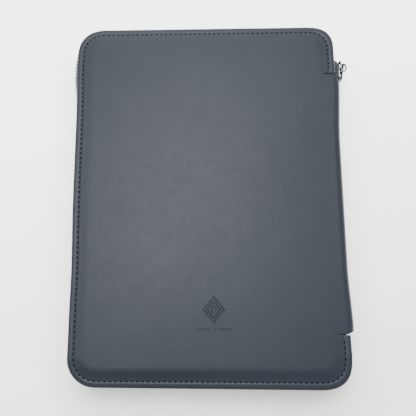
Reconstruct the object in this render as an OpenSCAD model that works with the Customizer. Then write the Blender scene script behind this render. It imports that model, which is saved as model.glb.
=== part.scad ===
// Zip-round folio case with a built-in keyboard and a tablet panel that stands up.
// It lies closed on its front cover: +Z is up, +Y runs along the spine, the spine is on +X.

/* [Case] */
// Width across the stitched flanges, without the spine
case_w = 193; // [190:1:205]
// Length along the spine, across the stitched flanges
case_l = 264; // [264:1:276]
// Thickness of the closed case
case_t = 28; // [28:0.5:32]
// Corner radius of the stitched flange
corner_r = 20; // [16:1:24]
// Width of the stitched flange, from its edge to the padded panel
flange_w = 6.5; // [6:0.5:8]
// How far the flange lies below the face of the padded panel
flange_drop = 2; // [1.5:0.1:2.2]

/* [Cover layers] */
// Thickness of the outer leather
skin_t = 1.1; // [0.9:0.1:1.1]
// Thickness of the foam under the leather
foam_t = 1.3; // [1.1:0.1:1.3]
// Thickness of the stiffening board
board_t = 1.5; // [1.3:0.1:1.5]
// Thickness of the inner lining
lining_t = 0.6; // [0.5:0.1:0.6]
// Distance of the stitch line from the flange's edge
stitch_inset = 4.4; // [3.5:0.1:5]
// Thickness of the sewing thread
thread_d = 0.5; // [0.4:0.1:0.7]

/* [Spine] */
// Upper end of the spine, measured along the case from its middle
spine_top = 92; // [86:1:92]
// Lower end of the spine, measured along the case from its middle
spine_bottom = -96; // [-96:1:-88]
// Distance of both fold lines from the outer faces that they join
fold_depth = 2.2; // [2.1:0.1:2.4]

/* [Zip] */
// Thickness of the zip tape
tape_t = 0.8; // [0.6:0.1:0.8]
// Size of one row of zip teeth, across the tape and along the wall
row_size = 2.6; // [2.2:0.1:2.8]
// How far the joined end of the zip stands out from the flange's edge
zip_stand_out = 5; // [4.5:0.1:5.5]
// Length of the zip slider
slider_l = 11; // [10:0.5:11]
// Length of the pull tab from its pin to its tip
pull_l = 12; // [11:0.5:14]

/* [Keyboard] */
// Width of the keyboard housing, along the spine
keyboard_w = 240; // [236:1:244]
// Depth of the keyboard housing, across the case
keyboard_d = 124; // [122:1:130]
// Middle of the keyboard housing across the case, from the middle of the cover
keyboard_x = -4; // [-12:1:4]
// Height of the keyboard's deck above the lining
keyboard_h = 5.2; // [5.2:0.1:5.4]
// Depth of one key row, from key to key
row_pitch = 17.5; // [17:0.1:17.6]
// Gap between neighbouring keys
key_gap = 2.4; // [2:0.1:3]
// Travel of a key
key_travel = 1.5; // [1:0.1:1.5]

/* [Tablet panel] */
// Depth of the tablet that the panel holds, across the case
tablet_d = 168; // [160:1:168]
// Length of the tablet that the panel holds, along the spine
tablet_l = 239; // [230:1:239]
// Thickness of the tablet that the panel holds
tablet_t = 7.7; // [6:0.1:7.7]
// Distance from the panel's hinge to the stand leg's hinge
leg_reach = 80; // [76:1:80]
// Width of the stand leg, along the spine
leg_w = 96; // [80:2:120]
// Width of the elastic corner straps
strap_w = 13; // [10:1:14]

/* [Hidden] */

leather = "#5b626c";
lining_grey = "#4a4d52";
tape_grey = "#3f444b";
metal = "#c9cccf";
board_brown = "#8d7b63";
keyboard_black = "#26282b";
key_black = "#1b1c1e";

corner_steps = 12; // flats in each rounded corner
half_w = case_w / 2;
half_l = case_l / 2;
mid_z = case_t / 2;
fit = 0.3; // clearance between pieces that move past each other

// Depths inside a cover, from its outer face inwards
board_z = skin_t + foam_t;
lining_z = board_z + board_t;
cover_t = lining_z + lining_t;
tape_z = flange_drop + skin_t;
tape_flat_t = min(tape_t, lining_z - tape_z);
wall_inset = 1;
wall_top = mid_z - 0.35;
low_wall_top = mid_z - 5;
row_top = mid_z - 0.15;
row_end_y = half_l - 12.5;

// Fold lines and the stack of the spine
fold_x = half_w - 0.1;
cover_edge_x = fold_x - 1.8;
spine_outer_x = fold_x + fold_depth;
spine_skin_t = 1.3;
spine_board_t = 1.2;
spine_lining_t = 0.6;
spine_end_z = fold_depth + 1.1;
spine_clearance = 1.3; // between the spine's ends and the flanges
gap_y0 = spine_bottom - spine_clearance;
gap_y1 = spine_top + spine_clearance;

// Joined end of the zip, with its slider
chain_x = half_w + zip_stand_out;
zip_end_half_h = 4.4;
zip_end_y0 = spine_top + 0.4;
tab_l = 4.8;
stop_l = 2.4;
tape_end_y = zip_end_y0 + 20;
chain_half_t = 1.2;
chain_half_h = 2;
slider_y = zip_end_y0 + tab_l + stop_l + 0.9;
channel_half_t = chain_half_t + fit;
plate_t = 0.9;
plate_half_h = 3.6;
crown_h = 3.4;
crown_x = chain_x + channel_half_t + plate_t;
crown_half_l = 3.3;
pin_r = 0.7;
pull_pin_x = crown_x + 1.3;
pull_pin_y = slider_y + slider_l / 2;
pull_half_h = 2.9;

// The row frame stands at the middle of the closed case's box, teeth and zip crown included
left_reach = half_w - wall_inset + row_size;
right_reach = crown_x + crown_h;
frame_shift = (right_reach - left_reach) / 2;

// Keyboard heights, from the lining up
pad_h = 0.3;
kb_z0 = cover_t + pad_h;
kb_floor_t = 1;
kb_deck_t = 1.2;
kb_top_z = cover_t + keyboard_h;
kb_deck_z = kb_top_z - kb_deck_t;
kb_wall_t = 1.4;
kb_corner_r = 7;
plate_z = kb_z0 + kb_floor_t;
base_plate_t = 0.5;
membrane_t = 0.3;
membrane_z = plate_z + base_plate_t;
dome_z = membrane_z + membrane_t;
dome_h = 0.5;
key_top_z = kb_top_z + 1;
cap_t = 1.3;
stem_z = dome_z + dome_h + key_travel + 0.1;

// Keyboard plan: the user sits on -X, so a row's first key is on +Y
kb_x0 = keyboard_x - keyboard_d / 2;
kb_x1 = keyboard_x + keyboard_d / 2;
screw_inset = 4.4;
keys_margin = 6.5;
row_units = 14.5;
key_unit = (keyboard_w - 12) / row_units;
function_row_d = 12;
letter_rows_x = kb_x0 + keys_margin;
function_row_x = letter_rows_x + 5 * row_pitch;
service_x = function_row_x + function_row_d + 1.5;
bottom_row_keys = [1, 1, 1, 1.25, 5, 1.25, 1, 1, 1, 1];
space_bar_at = 4;
lower_row_keys = [2.25, 1, 1, 1, 1, 1, 1, 1, 1, 1, 1, 2.25];
home_row_keys = [1.75, 1, 1, 1, 1, 1, 1, 1, 1, 1, 1, 1, 1.75];
upper_row_keys = [1.5, 1, 1, 1, 1, 1, 1, 1, 1, 1, 1, 1, 1, 1];
number_row_keys = [1, 1, 1, 1, 1, 1, 1, 1, 1, 1, 1, 1, 1, 1.5];
function_row_keys = [for (i = [1:14]) row_units / 14];
switch_y = -88;
button_y = -72;
lights_y = -56;

// Tablet panel, measured from its hinge line: across the cover, and up from the lining
hinge_x = half_w - 13;
hinge_h = 2.7;
hinge_z = case_t - cover_t - hinge_h;
panel_half_t = 0.9;
panel_cloth_t = 0.4;
panel_start = 1;
tablet_start = 2.3;
panel_end = tablet_start + tablet_d + 1.4;
panel_l = tablet_l + 3;
hinge_l = panel_l - 24;
strap_t = 0.6;
tablet_face_z = hinge_z - panel_half_t;
strap_z = tablet_face_z - tablet_t - 0.1 - strap_t;
leg_t = 1.2;
leg_h = 1.7;
leg_length = leg_reach + 0.6;
catch_pad_h = 0.7;

// Points of a rectangle with rounded corners, centred on the origin
function rounded_points(w, l, r, steps) = [
    for (corner = [0:3], i = [0:steps])
        let (a = 90 * corner + 90 * i / steps)
        let (sx = (corner == 0 || corner == 3) ? 1 : -1)
        let (sy = corner < 2 ? 1 : -1)
        [sx * (w / 2 - r) + r * cos(a), sy * (l / 2 - r) + r * sin(a)]
];

// Sum of the first n entries of a list
function sum_to(list, n) = n <= 0 ? 0 : list[n - 1] + sum_to(list, n - 1);

// Moves the drawing, made about the middle of the cover, into the row frame
module in_frame() {
    translate([-frame_shift, 0, 0]) children();
}

// Turns a piece of the front cover into its twin on the back cover
module on_back_cover() {
    translate([0, 0, case_t]) mirror([0, 0, 1]) children();
}

module rounded_rect(w, l, r, steps = corner_steps) {
    polygon(rounded_points(w, l, r, steps));
}

// The flange's outline, moved in by inset
module flange_outline(inset) {
    rounded_rect(case_w - 2 * inset, case_l - 2 * inset, corner_r - inset);
}

// The part of the right-hand side where the spine takes the flange's place
module spine_window(x0, shrink = 0) {
    translate([x0, gap_y0 + shrink])
        square([half_w + 10 - x0, gap_y1 - gap_y0 - 2 * shrink]);
}

// The padded panel's outline, which runs on to the fold beside the spine
module panel_outline(inset) {
    union() {
        flange_outline(flange_w + inset);
        translate([0, gap_y0 + inset])
            square([cover_edge_x - inset, gap_y1 - gap_y0 - 2 * inset]);
    }
}

// A band that follows the flange, open where the spine is
module flange_band(outer_inset, inner_inset, end_y = gap_y1) {
    difference() {
        flange_outline(outer_inset);
        flange_outline(inner_inset);
        translate([half_w - 12, gap_y0]) square([30, end_y - gap_y0]);
    }
}

module cover_skin() {
    union() {
        linear_extrude(skin_t) panel_outline(0);
        translate([0, 0, skin_t - 0.1]) linear_extrude(tape_z - skin_t + 0.1) difference() {
            panel_outline(0);
            panel_outline(skin_t);
        }
        translate([0, 0, flange_drop]) linear_extrude(skin_t) difference() {
            flange_outline(0);
            panel_outline(skin_t / 2);
            spine_window(cover_edge_x);
        }
    }
}

module cover_foam() {
    translate([0, 0, skin_t]) linear_extrude(foam_t) panel_outline(skin_t + 0.1);
}

module cover_board() {
    translate([0, 0, board_z]) linear_extrude(board_t) panel_outline(skin_t + 0.1);
}

module cover_lining() {
    translate([0, 0, lining_z]) linear_extrude(lining_t) difference() {
        flange_outline(wall_inset + tape_t + 0.1);
        spine_window(cover_edge_x);
    }
}

module cover_stitching() {
    translate([0, 0, flange_drop - thread_d / 2]) linear_extrude(thread_d / 2) difference() {
        flange_outline(stitch_inset - thread_d / 2);
        flange_outline(stitch_inset + thread_d / 2);
        spine_window(half_w - 12, -1.5);
    }
}

module cover_zip_tape() {
    union() {
        translate([0, 0, tape_z]) linear_extrude(tape_flat_t)
            flange_band(wall_inset, flange_w - 0.3);
        translate([0, 0, tape_z]) linear_extrude(wall_top - tape_z)
            flange_band(wall_inset, wall_inset + tape_t, row_end_y);
        translate([0, 0, tape_z]) linear_extrude(low_wall_top - tape_z)
            flange_band(wall_inset, wall_inset + tape_t);
    }
}

module cover_zip_teeth() {
    translate([0, 0, row_top - row_size]) linear_extrude(row_size) difference() {
        flange_outline(wall_inset - row_size);
        flange_outline(wall_inset);
        translate([half_w - 12, gap_y0 - stop_l - 2]) square([30, row_end_y - gap_y0 + stop_l + 2]);
    }
}

module cover_zip_top_stop() {
    translate([half_w - wall_inset, gap_y0 - stop_l - 1.8, row_top - row_size])
        cube([row_size, stop_l, row_size]);
}

module front_cover_skin() {
    color(leather) in_frame() cover_skin();
}

module front_cover_foam() {
    color("#d8d4c8") in_frame() cover_foam();
}

module front_cover_board() {
    color(board_brown) in_frame() cover_board();
}

module front_cover_lining() {
    color(lining_grey) in_frame() cover_lining();
}

module front_cover_stitching() {
    color("#2c313a") in_frame() cover_stitching();
}

module front_zip_tape() {
    color(tape_grey) in_frame() cover_zip_tape();
}

module front_zip_teeth() {
    color(metal) in_frame() cover_zip_teeth();
}

module front_zip_top_stop() {
    color(metal) in_frame() cover_zip_top_stop();
}

module back_cover_skin() {
    color(leather) in_frame() on_back_cover() cover_skin();
}

module back_cover_foam() {
    color("#d8d4c8") in_frame() on_back_cover() cover_foam();
}

module back_cover_board() {
    color(board_brown) in_frame() on_back_cover() cover_board();
}

module back_cover_lining() {
    color(lining_grey) in_frame() on_back_cover() cover_lining();
}

module back_cover_stitching() {
    color("#2c313a") in_frame() on_back_cover() cover_stitching();
}

module back_zip_tape() {
    color(tape_grey) in_frame() on_back_cover() cover_zip_tape();
}

module back_zip_teeth() {
    color(metal) in_frame() on_back_cover() cover_zip_teeth();
}

module back_zip_top_stop() {
    color(metal) in_frame() on_back_cover() cover_zip_top_stop();
}

// One upright layer of the spine, from its outer face x1 inwards
module spine_layer(x1, t, end_gap = 0) {
    translate([x1 - t, spine_bottom, spine_end_z + end_gap])
        cube([t, spine_top - spine_bottom, case_t - 2 * (spine_end_z + end_gap)]);
}

module spine_skin() {
    color(leather) in_frame() spine_layer(spine_outer_x, spine_skin_t);
}

module spine_board() {
    color(board_brown) in_frame()
        spine_layer(spine_outer_x - spine_skin_t, spine_board_t, 0.8);
}

module spine_lining() {
    color(lining_grey) in_frame()
        spine_layer(spine_outer_x - spine_skin_t - spine_board_t, spine_lining_t);
}

module zip_end_tab() {
    color(leather) in_frame()
        translate([chain_x - 1.6, zip_end_y0, mid_z - zip_end_half_h])
            cube([3.2, tab_l, 2 * zip_end_half_h]);
}

module zip_end_tape() {
    tape_y0 = zip_end_y0 + tab_l;
    color(tape_grey) in_frame() for (side = [-1, 1])
        translate([chain_x - 0.4, tape_y0, mid_z + side * (chain_half_h + 1.15) - 1.15])
            cube([0.8, tape_end_y - tape_y0, 2.3]);
}

module zip_end_teeth() {
    teeth_y0 = zip_end_y0 + tab_l + stop_l;
    color(metal) in_frame()
        translate([chain_x - chain_half_t, teeth_y0, mid_z - chain_half_h])
            cube([2 * chain_half_t, 7, 2 * chain_half_h]);
}

module zip_bottom_stop() {
    color(metal) in_frame()
        translate([chain_x - 1.4, zip_end_y0 + tab_l, mid_z - chain_half_h])
            cube([2.8, stop_l, 2 * chain_half_h]);
}

// The slider seen along the zip: two plates with hooked edges that leave slots for the tapes
module slider_section() {
    for (side = [-1, 1]) scale([side, 1]) {
        translate([channel_half_t, -plate_half_h]) square([plate_t, 2 * plate_half_h]);
        for (edge = [-1, 1])
            translate([0.7, edge * (plate_half_h - 0.5) - 0.5])
                square([channel_half_t - 0.7 + 0.1, 1]);
    }
}

module zip_slider_body() {
    color(metal) in_frame() union() {
        translate([chain_x, slider_y + slider_l, mid_z]) rotate([90, 0, 0])
            linear_extrude(slider_l) slider_section();
        translate([chain_x - channel_half_t - 0.1, slider_y + slider_l - 2.6, mid_z - 1.2])
            cube([2 * channel_half_t + 0.2, 2.2, 2.4]);
        translate([crown_x - 0.1, pull_pin_y, mid_z - 1.1]) linear_extrude(2.2) difference() {
            translate([0, -crown_half_l]) square([crown_h + 0.1, 2 * crown_half_l]);
            translate([-1, 0.9 - crown_half_l]) square([crown_h, 2 * crown_half_l - 1.8]);
        }
    }
}

module zip_pull_tab() {
    tab_start = 4.5;
    color(metal) in_frame() translate([pull_pin_x, pull_pin_y, mid_z]) union() {
        translate([0, 0, -pull_half_h]) cylinder(h = 2 * pull_half_h, r = pin_r, $fn = 32);
        for (z = [-pull_half_h, pull_half_h - 1.3]) translate([0, 0, z]) {
            cylinder(h = 1.3, r = 0.95, $fn = 32);
            translate([-0.7, -tab_start - 0.5, 0]) cube([1.4, tab_start + 0.5, 1.3]);
        }
        translate([0.7, -tab_start, 0]) rotate([0, -90, 0]) linear_extrude(1.4) difference() {
            polygon([
                [-pull_half_h, 0], [pull_half_h, 0], [pull_half_h, -4],
                [2, tab_start - pull_l], [-2, tab_start - pull_l], [-pull_half_h, -4]
            ]);
            translate([0, tab_start - pull_l + 2.6]) circle(r = 1, $fn = 32);
        }
    }
}

// The rectangle of key i in a row, grown by margin on each side
module key_plan(row, i, x0, depth, margin) {
    y1 = row_units * key_unit / 2 - sum_to(row, i) * key_unit;
    w = row[i] * key_unit - key_gap + 2 * margin;
    d = depth - key_gap + 2 * margin;
    translate([x0 + depth / 2, y1 - row[i] * key_unit / 2])
        rounded_rect(d, w, 1 + margin, 2);
}

module row_plan(row, x0, depth, margin) {
    for (i = [0:len(row) - 1]) key_plan(row, i, x0, depth, margin);
}

module all_keys_plan(margin) {
    row_plan(bottom_row_keys, letter_rows_x, row_pitch, margin);
    row_plan(lower_row_keys, letter_rows_x + row_pitch, row_pitch, margin);
    row_plan(home_row_keys, letter_rows_x + 2 * row_pitch, row_pitch, margin);
    row_plan(upper_row_keys, letter_rows_x + 3 * row_pitch, row_pitch, margin);
    row_plan(number_row_keys, letter_rows_x + 4 * row_pitch, row_pitch, margin);
    row_plan(function_row_keys, function_row_x, function_row_d, margin);
}

// Caps with the plunger that presses each dome
module key(row, i, x0, depth) {
    translate([0, 0, key_top_z - cap_t]) linear_extrude(cap_t) key_plan(row, i, x0, depth, 0);
    y1 = row_units * key_unit / 2 - sum_to(row, i) * key_unit;
    translate([x0 + depth / 2, y1 - row[i] * key_unit / 2, stem_z])
        cylinder(h = key_top_z - stem_z - 0.5, r = 1.6, $fn = 24);
}

module key_row(row, x0, depth, skip = -1) {
    color(key_black) in_frame() for (i = [0:len(row) - 1]) if (i != skip)
        key(row, i, x0, depth);
}

module keys_function_row() {
    key_row(function_row_keys, function_row_x, function_row_d);
}

module keys_number_row() {
    key_row(number_row_keys, letter_rows_x + 4 * row_pitch, row_pitch);
}

module keys_upper_row() {
    key_row(upper_row_keys, letter_rows_x + 3 * row_pitch, row_pitch);
}

module keys_home_row() {
    key_row(home_row_keys, letter_rows_x + 2 * row_pitch, row_pitch);
}

module keys_lower_row() {
    key_row(lower_row_keys, letter_rows_x + row_pitch, row_pitch);
}

module keys_bottom_row() {
    key_row(bottom_row_keys, letter_rows_x, row_pitch, space_bar_at);
}

module key_space_bar() {
    color(key_black) in_frame() key(bottom_row_keys, space_bar_at, letter_rows_x, row_pitch);
}

module keyboard_outline(inset) {
    translate([keyboard_x, 0])
        rounded_rect(keyboard_d - 2 * inset, keyboard_w - 2 * inset, kb_corner_r - inset, 8);
}

module at_screws() {
    for (x = [kb_x0 + screw_inset, kb_x1 - screw_inset], y = [-1, 1])
        translate([x, y * (keyboard_w / 2 - screw_inset)]) children();
}

socket_w = 9;
socket_h = 2.6;
socket_d = 7;
socket_x = service_x + 0.6;

module keyboard_bottom_case() {
    color(keyboard_black) in_frame() difference() {
        translate([0, 0, kb_z0]) linear_extrude(kb_deck_z - kb_z0) keyboard_outline(0);
        translate([0, 0, plate_z]) linear_extrude(kb_deck_z - kb_z0) keyboard_outline(kb_wall_t);
        at_screws() translate([0, 0, kb_z0 - 1]) cylinder(h = 5, r = 0.9, $fn = 24);
        at_screws() translate([0, 0, kb_z0 - 1]) cylinder(h = 1.6, r = 1.8, $fn = 24);
        translate([socket_x - 0.2, keyboard_w / 2 - 3, plate_z + 0.1 - 0.2])
            cube([socket_w + 0.4, 6, socket_h + 0.3]);
    }
}

module keyboard_deck() {
    color(keyboard_black) in_frame() union() {
        translate([0, 0, kb_deck_z]) linear_extrude(kb_deck_t) difference() {
            keyboard_outline(0);
            all_keys_plan(fit);
            translate([service_x + 6, switch_y]) square([3.4, 9.4], center = true);
            translate([service_x + 6, button_y]) circle(r = 2.3, $fn = 32);
            for (i = [-1:1]) translate([service_x + 6, lights_y + 4 * i]) circle(r = 0.8, $fn = 24);
        }
        at_screws() translate([0, 0, plate_z]) difference() {
            cylinder(h = kb_deck_z - plate_z + 0.1, r = 1.7, $fn = 24);
            translate([0, 0, -1]) cylinder(h = 3, r = 0.75, $fn = 24);
        }
    }
}

module keyboard_base_plate() {
    color(metal) in_frame() translate([kb_x0 + 6.3, 6.3 - keyboard_w / 2, plate_z])
        cube([service_x - kb_x0 - 6.5, keyboard_w - 12.6, base_plate_t]);
}

module keyboard_membrane() {
    color("#9fb7a8") in_frame() translate([kb_x0 + 6.5, 6.5 - keyboard_w / 2, membrane_z])
        cube([service_x - kb_x0 - 6.9, keyboard_w - 13, membrane_t]);
}

module domes_of(row, x0, depth) {
    for (i = [0:len(row) - 1])
        translate([x0 + depth / 2,
            (row_units / 2 - sum_to(row, i) - row[i] / 2) * key_unit, dome_z])
            cylinder(h = dome_h, r = 2.6, $fn = 24);
}

module keyboard_domes() {
    color("#d9d9d4") in_frame() {
        domes_of(bottom_row_keys, letter_rows_x, row_pitch);
        domes_of(lower_row_keys, letter_rows_x + row_pitch, row_pitch);
        domes_of(home_row_keys, letter_rows_x + 2 * row_pitch, row_pitch);
        domes_of(upper_row_keys, letter_rows_x + 3 * row_pitch, row_pitch);
        domes_of(number_row_keys, letter_rows_x + 4 * row_pitch, row_pitch);
        domes_of(function_row_keys, function_row_x, function_row_d);
    }
}

module keyboard_circuit_board() {
    color("#2f6b4a") in_frame() translate([service_x, -104, plate_z]) cube([12, 84, 1]);
}

module keyboard_battery() {
    color("#b9bcc0") in_frame() translate([service_x, -14, plate_z])
        linear_extrude(2.4) translate([6, 46]) rounded_rect(12, 92, 1, 3);
}

module keyboard_usb_socket() {
    color(metal) in_frame() translate([socket_x, keyboard_w / 2 - socket_d - 0.2, plate_z + 0.1])
        difference() {
            cube([socket_w, socket_d, socket_h]);
            translate([0.4, 1, 0.4]) cube([socket_w - 0.8, socket_d, socket_h - 0.8]);
        }
}

module keyboard_status_lights() {
    color("#e9f2ff") in_frame() for (i = [-1:1])
        translate([service_x + 6, lights_y + 4 * i, plate_z + 1])
            cylinder(h = kb_top_z - plate_z - 1, r = 0.7, $fn = 24);
}

module keyboard_screws() {
    color(metal) in_frame() at_screws() translate([0, 0, kb_z0]) difference() {
        union() {
            cylinder(h = 0.6, r = 1.6, $fn = 24);
            cylinder(h = 2.9, r = 0.7, $fn = 24);
        }
        translate([0, 0, -0.1]) cylinder(h = 0.4, r = 0.7, $fn = 6);
    }
}

module keyboard_fixing_pads() {
    color("#3a3a3a") in_frame() for (x = [kb_x0 + 12, kb_x1 - 12])
        translate([x - 6, -keyboard_w / 2 + 14, cover_t]) cube([12, keyboard_w - 28, pad_h]);
}

module keyboard_power_switch() {
    color("#8f9499") in_frame() translate([service_x + 6, switch_y - 1, kb_deck_z - 0.9]) {
        translate([-1.3, -3.2, 0]) cube([2.6, 6.4, 0.6]);
        translate([-1.3, -1.4, 0.5]) cube([2.6, 2.8, kb_deck_t + 0.9]);
    }
}

module keyboard_pair_button() {
    color("#8f9499") in_frame() translate([service_x + 6, button_y, kb_deck_z - 0.6]) {
        cylinder(h = 0.5, r = 2.8, $fn = 32);
        cylinder(h = kb_deck_t + 1, r = 2, $fn = 32);
    }
}

// A layer of the tablet panel, given by its height above the hinge line's plane
module panel_layer(h0, t, margin = 0) {
    translate([hinge_x - panel_end + margin, -panel_l / 2 + margin, hinge_z - h0 - t])
        cube([panel_end - panel_start - 2 * margin, panel_l - 2 * margin, t]);
}

module tablet_panel_facing() {
    color("#6a6e74") in_frame() panel_layer(panel_half_t - panel_cloth_t, panel_cloth_t);
}

module tablet_panel_board() {
    color(board_brown) in_frame()
        panel_layer(panel_cloth_t - panel_half_t, 2 * (panel_half_t - panel_cloth_t), 0.6);
}

module tablet_panel_backing() {
    color(lining_grey) in_frame() panel_layer(-panel_half_t, panel_cloth_t);
}

// The cloth that carries the panel: sewn flat to the lining, with a stiffened edge that stands up
module tablet_panel_hinge() {
    lining_face = case_t - cover_t;
    color(lining_grey) in_frame() translate([hinge_x, -hinge_l / 2, 0]) {
        translate([1.6, 0, lining_face - 0.6]) cube([3.6, hinge_l, 0.6]);
        translate([1.6, 0, lining_face - hinge_h - 0.6]) cube([0.6, hinge_l, hinge_h + 0.1]);
    }
}

// One elastic strap across a corner of the tablet, with its ends sewn to the panel
module corner_strap() {
    reach = 34;
    edge = 0.3;
    tab_h = tablet_face_z - strap_z;
    translate([0, 0, strap_z]) linear_extrude(strap_t) polygon([
        [-edge - strap_t, reach - strap_w], [-edge - strap_t, reach],
        [reach, -edge - strap_t], [reach - strap_w, -edge - strap_t]
    ]);
    translate([-edge - strap_t, reach - strap_w, strap_z]) cube([strap_t, strap_w, tab_h]);
    translate([reach - strap_w, -edge - strap_t, strap_z]) cube([strap_w, strap_t, tab_h]);
}

module tablet_corner_straps() {
    color("#2b2d31") in_frame() {
        for (side = [0, 1]) mirror([0, side, 0]) {
            translate([hinge_x - tablet_start - tablet_d, -tablet_l / 2, 0]) corner_strap();
            translate([hinge_x - tablet_start, -tablet_l / 2, 0])
                mirror([1, 0, 0]) corner_strap();
        }
    }
}

module stand_leg() {
    color(lining_grey) in_frame()
        translate([hinge_x - leg_reach - leg_length, -leg_w / 2, hinge_z + leg_h - leg_t / 2])
            cube([leg_length - 0.2, leg_w, leg_t]);
}

module stand_leg_hinge() {
    color("#2b2d31") in_frame()
        translate([hinge_x - leg_reach + 0.9, -leg_w / 2, hinge_z + panel_half_t])
            cube([12, leg_w, 0.4]);
}

module stand_catch_pad() {
    color("#2b2d31") in_frame()
        translate([hinge_x - 76, -leg_w / 2, case_t - cover_t - catch_pad_h])
            cube([16, leg_w, catch_pad_h]);
}

front_cover_skin();
front_cover_foam();
front_cover_board();
front_cover_lining();
front_cover_stitching();
front_zip_tape();
front_zip_teeth();
front_zip_top_stop();
back_cover_skin();
back_cover_foam();
back_cover_board();
back_cover_lining();
back_cover_stitching();
back_zip_tape();
back_zip_teeth();
back_zip_top_stop();
spine_skin();
spine_board();
spine_lining();
zip_end_tab();
zip_end_tape();
zip_end_teeth();
zip_bottom_stop();
zip_slider_body();
zip_pull_tab();
keyboard_bottom_case();
keyboard_deck();
keyboard_base_plate();
keyboard_membrane();
keyboard_domes();
keyboard_circuit_board();
keyboard_battery();
keyboard_usb_socket();
keyboard_status_lights();
keyboard_screws();
keyboard_fixing_pads();
keyboard_power_switch();
keyboard_pair_button();
keys_function_row();
keys_number_row();
keys_upper_row();
keys_home_row();
keys_lower_row();
keys_bottom_row();
key_space_bar();
tablet_panel_facing();
tablet_panel_board();
tablet_panel_backing();
tablet_panel_hinge();
tablet_corner_straps();
stand_leg();
stand_leg_hinge();
stand_catch_pad();
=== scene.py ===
import math
import bpy
import bmesh
import numpy as np
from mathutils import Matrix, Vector, noise


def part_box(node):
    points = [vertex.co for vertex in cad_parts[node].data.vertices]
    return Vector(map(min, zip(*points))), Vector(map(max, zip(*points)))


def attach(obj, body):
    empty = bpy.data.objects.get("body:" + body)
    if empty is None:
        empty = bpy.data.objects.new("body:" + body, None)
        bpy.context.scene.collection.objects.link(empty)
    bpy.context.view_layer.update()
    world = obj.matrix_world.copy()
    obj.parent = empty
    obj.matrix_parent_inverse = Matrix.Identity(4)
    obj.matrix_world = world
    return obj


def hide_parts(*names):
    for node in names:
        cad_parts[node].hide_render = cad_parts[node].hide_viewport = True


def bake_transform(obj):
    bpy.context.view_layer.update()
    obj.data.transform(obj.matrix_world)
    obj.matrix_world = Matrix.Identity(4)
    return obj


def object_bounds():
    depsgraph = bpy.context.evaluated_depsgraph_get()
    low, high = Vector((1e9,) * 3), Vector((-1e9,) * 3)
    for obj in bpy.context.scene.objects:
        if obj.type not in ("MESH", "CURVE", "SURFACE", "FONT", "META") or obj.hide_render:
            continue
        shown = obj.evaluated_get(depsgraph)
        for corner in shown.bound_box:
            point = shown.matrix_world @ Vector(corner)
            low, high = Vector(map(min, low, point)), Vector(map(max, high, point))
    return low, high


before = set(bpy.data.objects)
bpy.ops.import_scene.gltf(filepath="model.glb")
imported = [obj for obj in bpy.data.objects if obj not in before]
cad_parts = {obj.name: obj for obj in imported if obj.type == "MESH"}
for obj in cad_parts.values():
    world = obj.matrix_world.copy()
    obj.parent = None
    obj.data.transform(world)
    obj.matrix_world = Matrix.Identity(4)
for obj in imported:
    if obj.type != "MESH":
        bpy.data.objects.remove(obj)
cad_low, cad_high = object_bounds()

# ---- Camera and studio -------------------------------------------------------------------------
# The case lies on a pale table under broad, soft daylight that comes from beyond its upper end.
# The table's white is painted light: it glows, brighter towards its far end and its left, and an
# occlusion term dims that glow beside the case, most at its lower end, as a painted shadow. The
# camera stands above that end and leans forward.
mm = 0.001
flange_low, flange_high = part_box("back_cover_skin")
cover_x = (flange_low.x + flange_high.x) / 2
half_w = (flange_high.x - flange_low.x) / 2
half_l = (flange_high.y - flange_low.y) / 2
case_t = cad_high.z
mid_z = case_t / 2


def put(name, data):
    """A new object at the origin for a mesh, a lamp or a camera."""
    thing = bpy.data.objects.new(name, data)
    bpy.context.scene.collection.objects.link(thing)
    return thing


camera_data = bpy.data.cameras.new("camera")
camera_data.lens = 56.25
camera_data.sensor_width = 36
camera = put("camera", camera_data)
camera.location = (cover_x + 1.1 * mm, -118.7 * mm, 477.6 * mm)
camera.rotation_euler = [math.radians(angle) for angle in (13.8, 0.2, -0.48)]
bpy.context.scene.camera = camera


def soft_light(name, place, aim, size, watts, colour):
    data = bpy.data.lights.new(name, "AREA")
    data.shape = "DISK"
    data.size = size
    data.energy = watts
    data.color = colour
    lamp = put(name, data)
    lamp.location = place
    lamp.rotation_euler = (Vector(aim) - Vector(place)).to_track_quat("-Z", "Y").to_euler()


soft_light("window", (-0.01, 0.42, 1.25), (-0.02, 0.02, 0), 0.34, 5.8, (0.965, 0.985, 1.0))
soft_light("side_window", (-0.21, 0.18, 1.25), (-0.03, 0, 0), 0.34, 5.2, (0.975, 0.985, 1.0))
soft_light("far_wall", (-0.1, 1.4, 0.75), (0, 0, 0), 1.2, 15, (0.99, 0.995, 1.0))

studio = bpy.data.worlds.new("studio")
studio.use_nodes = True
studio.node_tree.nodes["Background"].inputs["Color"].default_value = (0.92, 0.94, 0.97, 1)
studio.node_tree.nodes["Background"].inputs["Strength"].default_value = 0.55
bpy.context.scene.world = studio


def new_material(name, colour, roughness):
    """An empty finish: its node tree, its links and its main shader."""
    finish = bpy.data.materials.new(name)
    finish.use_nodes = True
    shader = finish.node_tree.nodes["Principled BSDF"]
    shader.inputs["Base Color"].default_value = (*colour, 1)
    shader.inputs["Roughness"].default_value = roughness
    return finish, finish.node_tree, shader


def texture(tree, kind, scale, **inputs):
    """A texture node on the piece's own coordinates, with scale in repeats per metre."""
    node = tree.nodes.new(kind)
    place = tree.nodes.get("Texture Coordinate") or tree.nodes.new("ShaderNodeTexCoord")
    tree.links.new(place.outputs["Object"], node.inputs["Vector"])
    node.inputs["Scale"].default_value = scale
    for key, value in inputs.items():
        node.inputs[key.replace("_", " ")].default_value = value
    return node


def ramp(tree, source, low, high, stops):
    """Turns a grey value between low and high into a run of colours or greys."""
    node = tree.nodes.new("ShaderNodeValToRGB")
    tree.links.new(source, node.inputs["Fac"])
    elements = node.color_ramp.elements
    elements[0].position, elements[1].position = low, high
    for element, stop in zip(elements, stops):
        element.color = (*stop, 1) if len(stop) == 3 else (stop[0], stop[0], stop[0], 1)
    return node


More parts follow.
